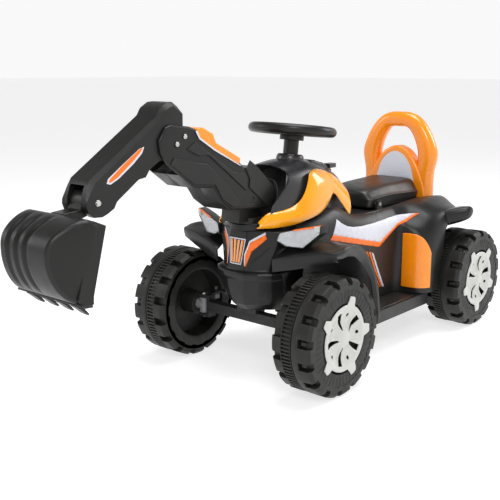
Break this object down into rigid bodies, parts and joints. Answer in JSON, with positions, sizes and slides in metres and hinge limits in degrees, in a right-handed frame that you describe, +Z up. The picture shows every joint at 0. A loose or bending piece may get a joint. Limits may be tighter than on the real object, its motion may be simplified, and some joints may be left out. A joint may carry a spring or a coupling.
{
  "type": "toy excavator",
  "caption": "Battery ride-on quad for a child with a front digger arm that swivels, tilts, reaches and curls, steered front wheels, tip-up seat and push-handle backrest.",
  "frame": {"origin": "on the ground under the centre of the toy's bounding box", "axes": "-Y points forward to the digger bucket, +X to the rider's left, +Z up"},
  "size_m": [0.4516, 1.186, 0.53],
  "materials": {
    "tyre_black": "moulded satin",
    "white_plastic": "satin gloss",
    "body_black": "fine grain satin",
    "hood_grey": "satin",
    "orange_gloss": "high gloss",
    "arm_black": "satin",
    "steel": "zinc plated",
    "lens_clear": "clear moulded lens",
    "lamp_white": "bright reflector",
    "seat_black": "soft grain",
    "battery_grey": "matt",
    "gear_grey": "matt",
    "button_black": "gloss",
    "bearing_white": "natural nylon"
  },
  "bodies": {
    "root": {"front_fender_left": "body_black", "lamp_housing_left": "lamp_white", "lamp_lens_left": "lens_clear", "insert_panel_left": "orange_gloss", "arch_panel_left": "body_black", "rear_fender_left": "body_black", "front_fender_right": "body_black", "lamp_housing_right": "lamp_white", "lamp_lens_right": "lens_clear", "insert_panel_right": "orange_gloss", "arch_panel_right": "body_black", "rear_fender_right": "body_black", "front_axle_beam": "steel", "kingpins": "steel", "bearing_bushes": "bearing_white", "floor_pan": "body_black", "upper_body": "body_black", "nose": "body_black", "bumper": "body_black", "grille": "orange_gloss", "hood": "hood_grey", "fairing": "orange_gloss", "seat_hinge_pin": "steel", "hinge_ears": "body_black", "backrest": "orange_gloss", "battery": "battery_grey", "gearbox": "gear_grey", "rear_axle": "steel", "pedal_pin": "steel"},
    "steering": {"steering_column": "steel", "column_sleeve": "body_black", "steering_wheel": "body_black"},
    "horn_button": {"horn_button": "button_black"},
    "knuckle_left": {"knuckle_left": "gear_grey", "stub_axle_left": "steel"},
    "knuckle_right": {"knuckle_right": "gear_grey", "stub_axle_right": "steel"},
    "tie_rod": {"tie_rod": "steel"},
    "wheel_front_left": {"wheel_front_left": "tyre_black", "hubcap_front_left": "white_plastic"},
    "wheel_front_right": {"wheel_front_right": "tyre_black", "hubcap_front_right": "white_plastic"},
    "wheel_rear_left": {"wheel_rear_left": "tyre_black", "hubcap_rear_left": "white_plastic"},
    "wheel_rear_right": {"wheel_rear_right": "tyre_black", "hubcap_rear_right": "white_plastic"},
    "turret": {"turret": "arm_black", "turret_nut": "steel"},
    "boom": {"boom_half_left": "arm_black", "boom_half_right": "arm_black", "boom_cover": "orange_gloss", "boom_pins": "steel", "arm_screws": "steel"},
    "stick": {"stick_half_left": "arm_black", "stick_half_right": "arm_black", "bucket_pin": "steel"},
    "bucket": {"bucket": "arm_black"},
    "seat_lid": {"seat_lid": "seat_black"},
    "pedal": {"pedal": "gear_grey"},
    "dash_switch": {"dash_switch": "button_black"}
  },
  "joints": [
    {"name": "steering_turn", "type": "hinge", "parent": "root", "child": "steering", "pos_m": [0, 0.045, 0.464], "axis": [0, 0.1219, 0.9925], "range_deg": [-25, 25]},
    {"name": "knuckle_left_turn", "type": "hinge", "parent": "root", "child": "knuckle_left", "pos_m": [0.125, -0.082, 0.11], "axis": [0, 0, 1], "range_deg": [-26, 26]},
    {"name": "knuckle_right_turn", "type": "hinge", "parent": "root", "child": "knuckle_right", "pos_m": [-0.125, -0.082, 0.11], "axis": [0, 0, 1], "range_deg": [-26, 26]},
    {"name": "tie_rod_pivot", "type": "hinge", "parent": "knuckle_left", "child": "tie_rod", "pos_m": [0.125, -0.047, 0.132], "axis": [0, 0, 1], "range_deg": [-26, 26]},
    {"name": "spin_front_left", "type": "hinge", "parent": "knuckle_left", "child": "wheel_front_left", "pos_m": [0.18, -0.082, 0.11], "axis": [1, 0, 0], "continuous": true},
    {"name": "spin_front_right", "type": "hinge", "parent": "knuckle_right", "child": "wheel_front_right", "pos_m": [-0.18, -0.082, 0.11], "axis": [1, 0, 0], "continuous": true},
    {"name": "spin_rear_left", "type": "hinge", "parent": "root", "child": "wheel_rear_left", "pos_m": [0.166, 0.483, 0.11], "axis": [1, 0, 0], "continuous": true},
    {"name": "spin_rear_right", "type": "hinge", "parent": "root", "child": "wheel_rear_right", "pos_m": [-0.166, 0.483, 0.11], "axis": [1, 0, 0], "continuous": true},
    {"name": "turret_swivel", "type": "hinge", "parent": "root", "child": "turret", "pos_m": [0, -0.09, 0.286], "axis": [0, 0, 1], "range_deg": [-30, 30]},
    {"name": "boom_tilt", "type": "hinge", "parent": "turret", "child": "boom", "pos_m": [0, -0.117, 0.346], "axis": [1, 0, 0], "range_deg": [-15, 12]},
    {"name": "stick_swing", "type": "hinge", "parent": "boom", "child": "stick", "pos_m": [0, -0.3107, 0.4616], "axis": [1, 0, 0], "range_deg": [-25, 40]},
    {"name": "bucket_curl", "type": "hinge", "parent": "stick", "child": "bucket", "pos_m": [0, -0.4735, 0.383], "axis": [1, 0, 0], "range_deg": [-30, 50]},
    {"name": "horn_press", "type": "slide", "parent": "steering", "child": "horn_button", "axis": [0, -0.1219, -0.9925], "range_m": [0, 0.003], "stiffness_N_per_m": 400, "springref_m": -0.0005},
    {"name": "seat_open", "type": "hinge", "parent": "root", "child": "seat_lid", "pos_m": [0, 0.263, 0.296], "axis": [1, 0, 0], "range_deg": [0, 75]},
    {"name": "pedal_press", "type": "hinge", "parent": "root", "child": "pedal", "pos_m": [-0.128, 0.218, 0.104], "axis": [1, 0, 0], "range_deg": [0, 10], "stiffness_Nm_per_rad": 0.6, "springref_deg": -8.59},
    {"name": "switch_rock", "type": "hinge", "parent": "root", "child": "dash_switch", "pos_m": [0.026, 0.139, 0.386], "axis": [1, 0, 0], "range_deg": [-8, 8]}
  ],
  "couplings": [
    {"joint": "knuckle_left_turn", "follows": "steering_turn", "ratio": 1},
    {"joint": "knuckle_right_turn", "follows": "steering_turn", "ratio": 1},
    {"joint": "tie_rod_pivot", "follows": "steering_turn", "ratio": -1}
  ]
}
